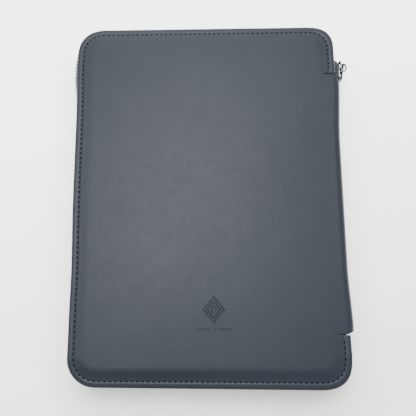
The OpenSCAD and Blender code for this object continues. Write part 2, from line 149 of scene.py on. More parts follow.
def paint(tree, shader, source, low, high, dark, light):
    """Colours a finish between a dark and a light tone, as the source goes from low to high."""
    tint = ramp(tree, source, low, high, [dark, light])
    tree.links.new(tint.outputs["Color"], shader.inputs["Base Color"])


def mix(tree, blend, share, below, above):
    """Mixes two colours, each of them a socket or a plain colour."""
    node = tree.nodes.new("ShaderNodeMix")
    node.data_type, node.blend_type = "RGBA", blend
    for name, value in (("Factor", share), ("A", below), ("B", above)):
        if isinstance(value, (float, tuple)):
            node.inputs[name].default_value = value
        else:
            tree.links.new(value, node.inputs[name])
    return node.outputs["Result"]


def bump(tree, shader, height, strength, depth, under=None):
    node = tree.nodes.new("ShaderNodeBump")
    node.inputs["Strength"].default_value = strength
    node.inputs["Distance"].default_value = depth
    tree.links.new(height, node.inputs["Height"])
    if under is not None:
        tree.links.new(under.outputs["Normal"], node.inputs["Normal"])
    tree.links.new(node.outputs["Normal"], shader.inputs["Normal"])
    return node


def calc(tree, operation, *values):
    """One step of arithmetic in a finish, on sockets or plain numbers."""
    node = tree.nodes.new("ShaderNodeMath")
    node.operation = operation
    for socket, value in zip(node.inputs, values):
        if isinstance(value, (int, float)):
            socket.default_value = value
        else:
            tree.links.new(value, socket)
    return node.outputs["Value"]


table_finish, tree, shader = new_material("table_top", (0.90, 0.895, 0.885), 0.8)
shader.inputs["Emission Color"].default_value = (1.0, 0.993, 0.98, 1)
speckle = texture(tree, "ShaderNodeTexNoise", 300, Detail=3)
place = tree.nodes.new("ShaderNodeSeparateXYZ")
tree.links.new(tree.nodes["Texture Coordinate"].outputs["Object"], place.inputs["Vector"])
# Painted light: the table glows, brighter towards its far end and its left.
glow = tree.nodes.new("ShaderNodeMapRange")
tree.links.new(calc(tree, "MULTIPLY_ADD", place.outputs["X"], -0.25, place.outputs["Y"]),
               glow.inputs["Value"])
for socket, value in (("From Min", -0.16), ("From Max", 0.10), ("To Min", 1.6), ("To Max", 3.5)):
    glow.inputs[socket].default_value = value
# Painted shadow: occlusion towards the far side dims the glow next to the case, most on its near side.
shade = tree.nodes.new("ShaderNodeAmbientOcclusion")
shade.samples = 12
shade.inputs["Distance"].default_value = 0.03
away = tree.nodes.new("ShaderNodeCombineXYZ")
for socket, value in (("X", 0.1), ("Y", 0.8), ("Z", 0.6)):
    away.inputs[socket].default_value = value
tree.links.new(away.outputs["Vector"], shade.inputs["Normal"])
tree.links.new(calc(tree, "MULTIPLY", glow.outputs["Result"], shade.outputs["AO"]),
               shader.inputs["Emission Strength"])
bump(tree, shader, speckle.outputs["Fac"], 0.05, 0.0002)
bpy.ops.mesh.primitive_plane_add(size=6, location=(0, 0, -0.0002))
table = bpy.context.object
table.name = "table_top"
table.data.materials.append(table_finish)

# ---- Cover leather -----------------------------------------------------------------------------
# Each cover is one panel of satin PU leather over foam and board. Its edge is turned in and sewn
# down as a flange on three sides, and on the fourth the leather runs on over half of the spine.
corner_r = 20 * mm
leather_t = 1.05 * mm
flange_drop = 1.75 * mm
stitch_inset = 4.5 * mm
wrap_inset = 8 * mm
fold_r = 4.4 * mm
spine_low, spine_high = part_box("spine_skin")
spine_y0, spine_y1 = spine_low.y - 1.6 * mm, spine_high.y + 2.5 * mm
gap = 0.35 * mm


def smooth(t):
    t = np.clip(t, 0, 1)
    return t * t * (3 - 2 * t)


def hump(value, middle, width):
    return math.exp(-(((value - middle) / width) ** 2))


def edge_shift(x, y, nx, ny):
    """How far hand-turned leather strays from a straight, evenly rounded edge, outwards."""
    left = 0.9 * hump(y, 0.100, 0.018) - 1.0 * hump(y, -0.055, 0.034) - 0.5 * hump(y, -0.105, 0.02)
    right = 0.7 * hump(y, -0.112, 0.014) + 0.3 * hump(y, 0.105, 0.012)
    across = x / half_w
    far, near = 1.5 + 0.6 * across, 0.8 + 1.9 * across
    square = 4 * nx**2 * ny**2 * ((2.4 if ny > 0 else 1.7) if nx > 0 else (0.9 if ny > 0 else 0))
    sides = (left * max(0, -nx) + right * max(0, nx)) * abs(nx)
    return mm * (sides + (far * max(0, ny) + near * max(0, -ny)) * abs(ny) + square)


def spine_bulge(y):
    """Outer face of the spine's leather: it is pinched in the middle and flares at both ends."""
    upper = 2.2 * smooth((y - 0.040) / 0.055)
    lower = 1.7 * smooth((-0.050 - y) / 0.046)
    return cover_x + (98.25 + upper + lower) * mm


def pillow(x, y):
    """The padding's soft crown and its small unevenness."""
    across, along = (x - cover_x) / half_w, y / half_l
    crown = 0.45 * (1 - across**2) * (1 - along**2)
    swell = noise.noise(Vector((x * 16, y * 13, 0.3))) + 0.5 * noise.noise(Vector((x * 38, y * 34, 5)))
    return mm * (crown + 0.10 * swell)


def flange_fall(ny):
    """How far the flange lies under the panel's face: the padding is plumper at the lower end."""
    return flange_drop * (0.14 + 0.86 * max(0, -ny) + 0.16 * max(0, ny))


def flange_profile(d, ny):
    """Height of the leather over the padded panel's face at distance d from the edge."""
    slope = -flange_fall(ny) * (1 - smooth((d - 5.1 * mm) / (7.4 * mm)))
    turned = -0.9 * mm * max(0, 1 - d / (1.2 * mm)) ** 2
    groove = -0.26 * mm * hump(d, stitch_inset, 0.6 * mm)
    plump = 0.16 * mm * math.sin(math.pi * min(d / stitch_inset, 1))
    droop = -0.45 * mm * max(0, -ny) * max(0, 1 - d / stitch_inset)
    return slope + turned + groove + plump + droop


def flange_stations():
    """Points round the arcs' centres with their outward directions, counter-clockwise."""
    side_x, side_y = half_w - corner_r, half_l - corner_r
    low_gap, high_gap = spine_y0 - gap, spine_y1 + gap
    fine = np.array([0, 0.35, 0.8, 1.4, 2.2, 3.2, 4.6, 6.4]) * mm
    ys = np.concatenate([
        np.linspace(-side_y, low_gap - 1.2 * mm, 8), [low_gap], spine_y0 + fine,
        np.linspace(spine_y0 + 8.2 * mm, spine_y1 - 8.2 * mm, 96),
        spine_y1 - fine[::-1], [high_gap], np.linspace(high_gap + 1.2 * mm, side_y, 10)])
    xs = np.linspace(-side_x, side_x, 86)
    arc = np.linspace(0, math.pi / 2, 15)[1:-1]
    loop = []
    corners = [(side_x, side_y), (-side_x, side_y), (-side_x, -side_y), (side_x, -side_y)]
    sides = [
        [(side_x, y, 1, 0, (len(xs) - 1, j)) for j, y in enumerate(ys)],
        [(x, side_y, 0, 1, (i, len(ys) - 1)) for i, x in reversed(list(enumerate(xs)))],
        [(-side_x, y, -1, 0, (0, j)) for j, y in reversed(list(enumerate(ys)))],
        [(x, -side_y, 0, -1, (i, 0)) for i, x in enumerate(xs)]]
    for turn, side in enumerate(sides):
        loop += side
        cx, cy = corners[turn]
        cell = side[-1][4]
        loop += [(cx, cy, math.cos(a + turn * math.pi / 2), math.sin(a + turn * math.pi / 2), cell)
                 for a in arc]
    return xs, ys, loop


grid_x, grid_y, stations = flange_stations()
ring_insets = np.array([0, 0.2, 0.5, 0.9, 1.4, 2.1, 2.9, 3.6, 4.1, 4.5, 4.9, 5.4, 6.0, 6.6, 7.3, 8.0,
                        8.8, 9.7, 10.7, 12, 14, 16.2, 18.4]) * mm
wrap_ring = int(np.argmin(abs(ring_insets - wrap_inset)))


def on_wrap(station):
    cx, cy, nx, ny, cell = station
    return nx == 1 and spine_y0 - 0.1 * mm <= cy <= spine_y1 + 0.1 * mm


def leather_point(station, ring, lift=0.0):
    """A point of the leather's outer face: x, y and its height above the closed case's middle."""
    cx, cy, nx, ny, cell = station
    d = ring_insets[ring] if ring < len(ring_insets) else corner_r
    if on_wrap(station):
        end = min(cy - spine_y0, spine_y1 - cy)
        sink = flange_profile(max(d, wrap_inset), 0) * math.exp(-((end / (5.5 * mm)) ** 2))
        roll = 0.6 * mm * max(0, 1 - end / (1.4 * mm)) ** 2 * smooth(2.5 * (wrap_ring - ring) / wrap_ring)
        if ring >= wrap_ring:
            x, y = cover_x + cx + corner_r - d, cy
            return x, y, mid_z + sink + pillow(x, y) + lift
        x0 = cover_x + half_w - wrap_inset
        top = mid_z + pillow(x0, cy) + sink
        outer = spine_bulge(cy) - roll
        flat = outer - fold_r - x0
        bend = math.pi / 2 * fold_r
        s = (wrap_ring - ring) / wrap_ring * (flat + bend + top - fold_r)
        slant = (1.8 if cy < 0 else 4.0) * mm * smooth((s - 5.5 * mm) / (6 * mm))
        slant *= math.exp(-end / (5 * mm))
        y = cy + (slant if cy < 0 else -slant)
        if s < flat:
            return x0 + s, y, top - roll + lift
        if s < flat + bend:
            a = (s - flat) / fold_r
            return outer - fold_r + fold_r * math.sin(a), y, top - fold_r + fold_r * math.cos(a)
        return outer, y, top - fold_r - (s - flat - bend)
    stray = edge_shift(cx, cy, nx, ny) * (1 - d / corner_r)
    x = cover_x + cx + nx * (corner_r - d + stray)
    y = cy + ny * (corner_r - d + stray)
    lower = flange_profile(d, ny)
    if nx == 1:
        away = max(spine_y0 - cy, cy - spine_y1)
        lower *= 1 - 0.45 * math.exp(-((away / (4 * mm)) ** 2))
    return x, y, mid_z + lower + pillow(x, y) + lift


def mesh_piece(name, points, faces, *finishes, shade=True):
    """A new object at the origin from its points and faces."""
    mesh = bpy.data.meshes.new(name)
    mesh.from_pydata([tuple(p) for p in points], [], faces)
    mesh.validate()
    piece = put(name, mesh)
    for finish in finishes:
        mesh.materials.append(finish)
    mesh.polygons.foreach_set("use_smooth", [shade] * len(mesh.polygons))
    return piece


def quads(rows, count, first=0, closed=False, flip=False):
    """Faces between rows of count points each, whose first point has the number first."""
    faces = []
    for row in range(rows - 1):
        for k in range(count if closed else count - 1):
            a, b = first + row * count + k, first + row * count + (k + 1) % count
            faces.append([a, a + count, b + count, b] if flip else [a, b, b + count, a + count])
    return faces


def settle(piece):
    """Turns the piece's modifiers into plain mesh."""
    graph = bpy.context.evaluated_depsgraph_get()
    made = bpy.data.meshes.new_from_object(piece.evaluated_get(graph))
    made.name = piece.name
    piece.modifiers.clear()
    piece.data = made
    return piece


def thicken(piece, thickness, offset=-1.0):
    layer = piece.modifiers.new("thickness", "SOLIDIFY")
    layer.thickness = thickness
    layer.offset = offset
    layer.use_even_offset = True
    return settle(piece)


def cover_leather(name, side, finish):
    """The outer leather of one cover: side is 1 for the back cover and -1 for the front one."""
    rings, count = len(ring_insets), len(stations)
    points, wear = [], []
    for ring in range(rings):
        for station in stations:
            x, y, h = leather_point(station, ring)
            points.append((x, y, mid_z + side * (h if side > 0 else min(h, mid_z))))
            d = ring_insets[ring]
            lower = max(0, -station[3])
            # Lighter band along the flange: partly edge wear, partly a painted highlight on the flange's
            # crease. The lower end's flange, which faces away from the light, gets none.
            rub_and_highlight = (0.22 - 0.5 * lower) * hump(d, 2.4 * mm, 1.4 * mm) - 1.2 * hump(d, 0, 0.8 * mm)
            wear.append(0 if on_wrap(station) else rub_and_highlight)
    inner = {}
    for i, x in enumerate(grid_x):
        for j, y in enumerate(grid_y):
            inner[i, j] = len(points)
            px = cover_x + x
            swell = pillow(px, y) if side > 0 else 0
            points.append((px, y, mid_z + side * (mid_z + swell)))
            wear.append(0.0)
    faces = []
    for ring in range(rings):
        for k in range(count):
            here, after = stations[k], stations[(k + 1) % count]
            if ring < wrap_ring and on_wrap(here) != on_wrap(after):
                continue
            a, b = ring * count + k, ring * count + (k + 1) % count
            if ring < rings - 1:
                face = [a, b, b + count, a + count]
            else:
                face = [a, b, inner[after[4]], inner[here[4]]]
            face = list(dict.fromkeys(face))
            faces.append(face if side > 0 else face[::-1])
    faces += quads(len(grid_x), len(grid_y), rings * count, flip=side > 0)
    piece = mesh_piece(name, points, faces, finish)
    rubbed_and_highlit = piece.data.attributes.new("wear", "FLOAT", "POINT")
    rubbed_and_highlit.data.foreach_set("value", wear)
    spread = piece.data.attributes.new("hide_place", "FLOAT_VECTOR", "POINT")
    spread.data.foreach_set("vector", [c for point in points for c in point])
    return thicken(piece, leather_t)


def emblem(tree):
    """Depth of a plain pressed lozenge and the bar below it: 0 on the face, 1 in the grooves."""
    place = tree.nodes.new("ShaderNodeAttribute")
    place.attribute_name = "hide_place"
    part = tree.nodes.new("ShaderNodeSeparateXYZ")
    tree.links.new(place.outputs["Vector"], part.inputs["Vector"])
    across = calc(tree, "ABSOLUTE", calc(tree, "SUBTRACT", part.outputs["X"], cover_x + 3.9 * mm))
    up = calc(tree, "ABSOLUTE", calc(tree, "SUBTRACT", part.outputs["Y"], -80.2 * mm))
    lozenge = calc(tree, "ADD", calc(tree, "DIVIDE", across, 7.8 * mm), calc(tree, "DIVIDE", up, 9.6 * mm))
    rings = tree.nodes.new("ShaderNodeValToRGB")
    tree.links.new(lozenge, rings.inputs["Fac"])
    stops = rings.color_ramp.elements
    stops[0].position, stops[0].color = 0.26, (1, 1, 1, 1)
    stops[1].position, stops[1].color = 0.31, (0, 0, 0, 1)
    for position, depth in ((0.49, 0), (0.54, 1), (0.62, 1), (0.67, 0), (0.8, 0), (0.85, 1), (0.96, 1),
                            (1.0, 0)):
        stops.new(position).color = (depth, depth, depth, 1)
    line = calc(tree, "ABSOLUTE", calc(tree, "SUBTRACT", part.outputs["Y"], -93.6 * mm))
    long = calc(tree, "MULTIPLY", calc(tree, "LESS_THAN", across, 12 * mm),
                calc(tree, "GREATER_THAN", across, 2.6 * mm))
    bar = calc(tree, "MULTIPLY", calc(tree, "LESS_THAN", line, 0.7 * mm), long)
    bead = calc(tree, "LESS_THAN", calc(tree, "ADD", across, line), 1.5 * mm)
    upper = calc(tree, "GREATER_THAN", part.outputs["Z"], mid_z)
    marks = calc(tree, "MAXIMUM", rings.outputs["Color"], calc(tree, "MAXIMUM", bar, bead))
    return calc(tree, "MULTIPLY", marks, upper)


def leather_finish(name):
    finish, tree, shader = new_material(name, (0.04, 0.046, 0.058), 0.5)
    cloud = texture(tree, "ShaderNodeTexNoise", 9, Detail=3, Roughness=0.55)
    tone = ramp(tree, cloud.outputs["Fac"], 0.3, 0.7, [(0.029, 0.036, 0.048), (0.036, 0.044, 0.058)])
    pores = texture(tree, "ShaderNodeTexVoronoi", 1150)
    grain = texture(tree, "ShaderNodeTexNoise", 820, Detail=5, Roughness=0.62)
    crease = texture(tree, "ShaderNodeTexNoise", 120, Detail=4, Roughness=0.6, Distortion=0.6)
    pit = ramp(tree, pores.outputs["Distance"], 0.0, 0.55, [(0.72,), (1.0,)])
    shaded = mix(tree, "MULTIPLY", 0.5, tone.outputs["Color"], pit.outputs["Color"])
    rubbed_and_highlit = tree.nodes.new("ShaderNodeAttribute")
    rubbed_and_highlit.attribute_name = "wear"
    # The flange band mixes towards a lighter colour: partly edge wear, partly painted highlight.
    patchy_wear_and_highlight = calc(tree, "MULTIPLY", rubbed_and_highlit.outputs["Fac"], crease.outputs["Fac"])
    worn = mix(tree, "MIX", patchy_wear_and_highlight, shaded, (0.07, 0.079, 0.094, 1))
    pressed = emblem(tree)
    tree.links.new(mix(tree, "MULTIPLY", pressed, worn, (0.66, 0.68, 0.74, 1)), shader.inputs["Base Color"])
    polish = ramp(tree, crease.outputs["Fac"], 0.3, 0.75, [(0.40,), (0.44,)])
    tree.links.new(polish.outputs["Color"], shader.inputs["Roughness"])
    shader.inputs["Specular IOR Level"].default_value = 0.3
    under = bump(tree, shader, crease.outputs["Fac"], 0.05, 0.0003)
    under = bump(tree, shader, grain.outputs["Fac"], 0.22, 0.00016, under)
    under = bump(tree, shader, pores.outputs["Distance"], 0.28, 0.00012, under)
    bump(tree, shader, calc(tree, "SUBTRACT", 1.0, pressed), 1.0, 0.0006, under)
    return finish


cover_finish = leather_finish("cover_leather")
back_leather = cover_leather("back_cover_leather", 1, cover_finish)
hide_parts("back_cover_skin", "spine_skin")
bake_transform(back_leather)

front_low, front_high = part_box("front_cover_skin")
front_leather = cover_leather("front_cover_leather", -1, cover_finish)
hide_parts("front_cover_skin")
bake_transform(front_leather)

# ---- Cover padding -----------------------------------------------------------------------------
# A thin sheet of foam lies between each board and its leather, and gives the cover its soft face.
# Its edges are skived down so that the leather runs smoothly to the flange.
def foam_sheet(name, side, body, board, finish):
    board_low, board_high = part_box(board)
    base = (board_high.z if side > 0 else case_t - board_low.z) - mid_z
    rings = range(wrap_ring + 1, len(ring_insets))
    points, faces, count = [], [], len(stations)
    for layer in (0, 1):
        for ring in rings:
            for station in stations:
                x, y, h = leather_point(station, ring)
                face_h = max(min(h, mid_z) - leather_t - 0.05 * mm, base + 0.12 * mm)
                points.append((x, y, mid_z + side * (face_h if layer else base)))
    size = len(points) // 2
    for layer in (0, 1):
        faces += quads(len(rings), count, layer * size, closed=True, flip=not layer)
        last = layer * size + (len(rings) - 1) * count
        cap = [last + k for k in range(count)]
        faces.append(cap if layer else cap[::-1])
    for k in range(count):
        a, b = k, (k + 1) % count
        faces.append([a, b, b + size, a + size])
    if side < 0:
        faces = [face[::-1] for face in faces]
    piece = mesh_piece(name, points, faces, finish)
    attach(piece, body)
    return piece


foam_finish, tree, shader = new_material("cover_foam", (0.62, 0.6, 0.54), 0.95)
cells = texture(tree, "ShaderNodeTexVoronoi", 1400)
paint(tree, shader, cells.outputs["Distance"], 0, 0.7, (0.42, 0.4, 0.35), (0.66, 0.64, 0.58))
bump(tree, shader, cells.outputs["Distance"], 0.5, 0.0003)
back_padding = foam_sheet("back_cover_padding", 1, "back_cover", "back_cover_board", foam_finish)
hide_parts("back_cover_foam")
front_padding = foam_sheet("front_cover_padding", -1, "front_cover", "front_cover_board", foam_finish)
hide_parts("front_cover_foam")

# ---- Cover stitching ---------------------------------------------------------------------------
# One line of lockstitch in matching polyester thread holds the turned flange to the zip tape and
# the lining. Between one stitch and the next, a dark matte blob in the pinched needle hole is
# painted shade.
stitch_pitch = 3.65 * mm
thread_d = 0.62 * mm
wrap_end = next(k for k, s in enumerate(stations) if on_wrap(stations[k - 1]) and not on_wrap(s))
free_stations = [s for s in stations[wrap_end:] + stations[:wrap_end] if not on_wrap(s)]


def node_group(name, inputs, settings, links):
    """A Geometry Nodes group with its named inputs, its nodes' settings and its links by kind."""
    tree = bpy.data.node_groups.new(name, "GeometryNodeTree")
    for label, kind in inputs:
        tree.interface.new_socket(label, in_out="INPUT", socket_type="NodeSocket" + kind)
    tree.interface.new_socket("Geometry", in_out="OUTPUT", socket_type="NodeSocketGeometry")
    kinds = dict.fromkeys(kind for link in links for kind in (link[0], link[2]))
    node = {kind: tree.nodes.new(kind) for kind in kinds}
    for kind, key, value in settings:
        setattr(node[kind], key, value)
    for kind, out, after, into in links:
        tree.links.new(node[kind].outputs[out], node[after].inputs[into])
    return tree


def run_nodes(piece, tree, unit, values):
    """Applies a node group to the piece with values for its inputs, and drops the unit it copied."""
    row = piece.modifiers.new("row", "NODES")
    row.node_group = tree
    for socket in tree.interface.items_tree:
        if socket.name in values:
            row[socket.identifier] = values[socket.name]
    settle(piece)
    bpy.data.objects.remove(unit)


copies_to_result = (
    ("GeometryNodeInstanceOnPoints", "Instances", "GeometryNodeRealizeInstances", "Geometry"),
    ("GeometryNodeRealizeInstances", "Geometry", "GeometryNodeSetMaterial", "Geometry"),
    ("NodeGroupInput", "Finish", "GeometryNodeSetMaterial", "Material"),
    ("GeometryNodeSetMaterial", "Geometry", "NodeGroupOutput", "Geometry"))


def along_path(name, path, spacing, unit, finish):
    """Sets a unit shape at even steps along a path, its X axis along the path and Z upwards."""
    turn = "FunctionNodeAlignRotationToVector"
    tree = node_group(
        name + "_row",
        (("Path", "Geometry"), ("Spacing", "Float"), ("Unit", "Object"), ("Finish", "Material")),
        (("GeometryNodeResampleCurve", "mode", "LENGTH"), (turn, "axis", "X"), (turn, "pivot_axis", "Z")),
        (("NodeGroupInput", "Path", "GeometryNodeMeshToCurve", "Mesh"),
         ("GeometryNodeMeshToCurve", "Curve", "GeometryNodeResampleCurve", "Curve"),
         ("NodeGroupInput", "Spacing", "GeometryNodeResampleCurve", "Length"),
         ("GeometryNodeInputTangent", "Tangent", turn, "Vector"),
         ("NodeGroupInput", "Unit", "GeometryNodeObjectInfo", "Object"),
         ("GeometryNodeResampleCurve", "Curve", "GeometryNodeInstanceOnPoints", "Points"),
         ("GeometryNodeObjectInfo", "Geometry", "GeometryNodeInstanceOnPoints", "Instance"),
         (turn, "Rotation", "GeometryNodeInstanceOnPoints", "Rotation")) + copies_to_result)
    line = bpy.data.meshes.new(name)
    line.from_pydata([tuple(p) for p in path], [(i, i + 1) for i in range(len(path) - 1)], [])
    piece = put(name, line)
    run_nodes(piece, tree, unit, {"Spacing": spacing, "Unit": unit, "Finish": finish})
    piece.data.polygons.foreach_set("use_smooth", [True] * len(piece.data.polygons))
    return piece


def rounded_unit(name, size, segments=8, rings=6, power=2.0, shift=(0, 0, 0)):
    """A small superellipsoid, used as one stitch, one needle hole or one tooth."""
    shape = bpy.data.meshes.new(name)
    form = bmesh.new()
    bmesh.ops.create_uvsphere(form, u_segments=segments, v_segments=rings, radius=1)
    for v in form.verts:
        v.co = Vector([math.copysign(abs(c) ** (2 / power), c) * s / 2 + m
                       for c, s, m in zip(v.co, size, shift)])
    form.to_mesh(shape)
    form.free()
    return put(name, shape)


def sewn_path(side, inset, sink, lead):
    """The flange's stitch line, from lead past the spine's upper end round to its lower end."""
    path = []
    for cx, cy, nx, ny, cell in free_stations:
        if nx == 1 and (spine_y0 - 1.2 * mm < cy < spine_y1 + 1.2 * mm):
            continue
        stray = edge_shift(cx, cy, nx, ny) * (1 - inset / corner_r)
        x = cover_x + cx + nx * (corner_r - inset + stray)
        y = cy + ny * (corner_r - inset + stray)
        h = mid_z + flange_profile(inset, ny) + pillow(x, y) - sink
        path.append(Vector((x, y, mid_z + side * h)))
    kept, travelled = [path[0]] if lead == 0 else [], 0.0
    for a, b in zip(path, path[1:]):
        travelled += (b - a).length
        if travelled >= lead:
            kept.append(b)
    return kept


thread_finish, tree, shader = new_material("sewing_thread", (0.05, 0.06, 0.08), 0.6)
ply = texture(tree, "ShaderNodeTexWave", 900, Distortion=0.5)
paint(tree, shader, ply.outputs["Fac"], 0.1, 0.9, (0.03, 0.037, 0.052), (0.062, 0.072, 0.09))
bump(tree, shader, ply.outputs["Fac"], 0.5, 0.0001)
# Painted shade: a dark, matte finish for the blobs that stand for the shade inside the needle holes.
hole_shade_finish, tree, shader = new_material("needle_hole", (0.012, 0.014, 0.022), 1.0)
shader.inputs["Specular IOR Level"].default_value = 0.0
shade_mottle = texture(tree, "ShaderNodeTexNoise", 2500)
paint(tree, shader, shade_mottle.outputs["Fac"], 0.3, 0.7, (0.009, 0.011, 0.018), (0.018, 0.021, 0.031))

for cover, side in (("back_cover", 1), ("front_cover", -1)):
    stitch = rounded_unit("stitch", (stitch_pitch - 1.3 * mm, thread_d, thread_d * 0.8))
    seam = along_path(cover + "_seam", sewn_path(side, stitch_inset, 0.06 * mm, 2 * mm),
                      stitch_pitch, stitch, thread_finish)
    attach(seam, cover)
    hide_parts(cover + "_stitching")
    # Dark blobs between the stitches: painted shade in the needle holes.
    hole = rounded_unit("hole", (2.3 * mm, 1.7 * mm, 0.56 * mm), segments=12)
    holes = along_path(cover + "_needle_holes", sewn_path(side, stitch_inset, 0.07 * mm, 0),
                       stitch_pitch, hole, hole_shade_finish)
    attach(holes, cover)

# ---- Zip tape and teeth ------------------------------------------------------------------------
# A woven zip tape is sewn in under each flange and stands up as the case's side wall. Its bright
# moulded teeth run along the edge; at the upper left the open zip bows out from under the flange.
tape_t = 0.7 * mm
tooth_pitch = 2.8 * mm
teeth_low, teeth_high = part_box("back_zip_teeth")
row_h = (teeth_low.z + teeth_high.z) / 2 - mid_z
row_end = half_l - 12.5 * mm


def zip_shift(cx, cy, nx, ny):
    """How far the loose zip bows out of line or tucks in, outwards."""
    left = 1.0 * smooth((cy + 0.045) / 0.05) + 1.9 * hump(cy, 0.105, 0.023)
    return mm * (left * max(0, -nx) - 1.6 * max(0, -ny) - 0.6 * max(0, ny) - 0.4 * max(0, nx))


wall_steps = [(5.9, 10.45), (3.4, 10.45), (2.3, 10.4), (1.75, 10.1), (1.5, 9.5), (1.35, 8.4),
              (1.1, 6.9), (0.75, 5.2), (0.35, 3.6), (0.0, 2.4), (-0.1, 1.5)]


def wall_point(station, inset, h):
    cx, cy, nx, ny, cell = station
    lift = smooth((row_end - cy) / (5 * mm)) if nx > 0.3 and cy > 0 else 0.0
    h = max(h, (5.3 * mm) * lift)
    bow = 1 - smooth((h - 1.5 * mm) / (9 * mm))
    ripple = 0.16 * mm * noise.noise(Vector((cx * 90, cy * 90, 2))) * bow
    h += (flange_drop - flange_fall(ny)) * smooth((h - 6 * mm) / (4 * mm))
    out = corner_r - inset + 0.8 * edge_shift(cx, cy, nx, ny) + zip_shift(*station[:4]) * bow + ripple
    return cover_x + cx + nx * out, cy + ny * out, h


def zip_wall(name, side, finish):
    points = []
    for inset, h in wall_steps:
        for station in free_stations:
            x, y, top = wall_point(station, inset * mm, h * mm)
            points.append((x, y, mid_z + side * top))
    faces = quads(len(wall_steps), len(free_stations), flip=side > 0)
    return thicken(mesh_piece(name, points, faces, finish), tape_t, 0)


def tooth_path(side):
    """The line of the teeth, which stops short of the spine at both of its ends."""
    path = []
    for station in free_stations:
        cx, cy, nx, ny, cell = station
        by_spine = nx > 0.3 and ny <= 0.9 and spine_y0 - 5.5 * mm < cy < row_end
        if by_spine and (cy > 0 or nx == 1):
            continue
        x, y, h = wall_point(station, -0.1 * mm, row_h)
        path.append(Vector((x, y, mid_z + side * h)))
    return path


tape_finish, tree, shader = new_material("zip_tape_weave", (0.06, 0.067, 0.078), 0.85)
rib = texture(tree, "ShaderNodeTexWave", 700, Distortion=0.3)
rib.bands_direction = "Z"
fuzz = texture(tree, "ShaderNodeTexNoise", 1800, Detail=3)
paint(tree, shader, rib.outputs["Fac"], 0.1, 0.9, (0.036, 0.041, 0.05), (0.075, 0.083, 0.095))
under = bump(tree, shader, rib.outputs["Fac"], 0.5, 0.0002)
bump(tree, shader, fuzz.outputs["Fac"], 0.3, 0.0001, under)

tooth_finish, tree, shader = new_material("zip_tooth_metal", (0.62, 0.62, 0.6), 0.32)
shader.inputs["Metallic"].default_value = 1.0
tarnish = texture(tree, "ShaderNodeTexNoise", 220, Detail=4)
paint(tree, shader, tarnish.outputs["Fac"], 0.35, 0.7, (0.42, 0.42, 0.41), (0.7, 0.7, 0.68))
bump(tree, shader, tarnish.outputs["Fac"], 0.2, 0.0001)

for cover, side in (("back", 1), ("front", -1)):
    wall = zip_wall(cover + "_zip_wall", side, tape_finish)
    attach(wall, cover + "_cover")
    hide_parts(cover + "_zip_tape")
    tooth = rounded_unit("tooth", (1.5 * mm, 2.4 * mm, 2.5 * mm), 10, 6, power=3.4)
    teeth = along_path(cover + "_zip_row", tooth_path(side), tooth_pitch, tooth, tooth_finish)
    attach(teeth, cover + "_cover")
    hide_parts(cover + "_zip_teeth")

# ---- Joined end of the zip, slider and pull ----------------------------------------------------
# Where the zip ends by the spine both tapes meet in a folded leather tab. The open case's die-cast
# chrome slider is parked there, and its pull tab hangs back towards the tab.
tab_low, tab_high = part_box("zip_end_tab")
end_tape_low, end_tape_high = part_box("zip_end_tape")
body_low, body_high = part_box("zip_slider_body")
pull_low, pull_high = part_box("zip_pull_tab")
end_teeth_low, end_teeth_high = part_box("zip_end_teeth")
chain_x = (tab_low.x + tab_high.x) / 2


def loft(name, sections, finish):
    """A closed skin over rings of points, each ring one section of the piece."""
    count = len(sections[0])
    points = [p for section in sections for p in section]
    faces = quads(len(sections), count, closed=True)
    faces += [list(range(count))[::-1], [(len(sections) - 1) * count + k for k in range(count)]]
    piece = mesh_piece(name, points, faces, finish)
    form = bmesh.new()
    form.from_mesh(piece.data)
    bmesh.ops.recalc_face_normals(form, faces=form.faces)
    form.to_mesh(piece.data)
    form.free()
    return piece


def oval(cx, y, cz, rx, rz, power=3.0, count=20):
    ring = []
    for k in range(count):
        a = 2 * math.pi * k / count
        c, s = math.cos(a), math.sin(a)
        ring.append((cx + math.copysign(abs(c) ** (2 / power), c) * rx, y,
                     cz + math.copysign(abs(s) ** (2 / power), s) * rz))
    return ring


tab_sections = []
for t in (0, 0.04, 0.12, 0.3, 0.55, 0.8, 0.93, 0.985, 1):
    y = tab_low.y + 0.8 * mm + t * (tab_high.y - 0.4 * mm - tab_low.y)
    end = min(t, 1 - t)
    full = 1 - 0.55 * max(0, 1 - end / 0.1) ** 2
    tab_sections.append(oval(chain_x - 0.3 * mm, y, mid_z, 1.3 * mm * full,
                             4.4 * mm * (0.86 + 0.14 * full)))
end_tab = loft("zip_end_leather", tab_sections, cover_finish)
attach(end_tab, "zip_end")
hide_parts("zip_end_tab")

ribbon_points, ribbon_faces = [], []
for side in (1, -1):
    first, rows, folds = len(ribbon_points), 16, 7
    for row in range(rows):
        y = end_tape_low.y - 1.5 * mm + row / (rows - 1) * 22.5 * mm
        away = smooth((y - 0.1035) / 0.0145)
        outer = chain_x - 0.3 * mm - 5.6 * mm * away
        for inward, h in zip((0, 0, 0.03, 0.14, 0.36, 0.64, 1), (2.0, 3.2, 4.2, 4.9, 5.3, 5.6, 6.0)):
            x = outer + (94.3 * mm + cover_x - outer) * inward
            h = (h - 0.9 * away * (1 - inward)) * mm
            ribbon_points.append((x, y, mid_z + side * h))
    ribbon_faces += quads(rows, folds, first, flip=side > 0)
ribbons = thicken(mesh_piece("zip_end_ribbons", ribbon_points, ribbon_faces, tape_finish), tape_t, 0)
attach(ribbons, "zip_end")
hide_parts("zip_end_tape")

joined = rounded_unit("joined_tooth", (0.8 * mm, 2.3 * mm, 3.9 * mm), 10, 6, power=3.4)
joined_teeth = along_path("zip_end_row", [(chain_x, end_teeth_low.y + 0.5 * mm, mid_z),
                                          (chain_x, end_teeth_high.y, mid_z)],
                          1.0 * mm, joined, tooth_finish)
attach(joined_teeth, "zip_end")
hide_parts("zip_end_teeth")

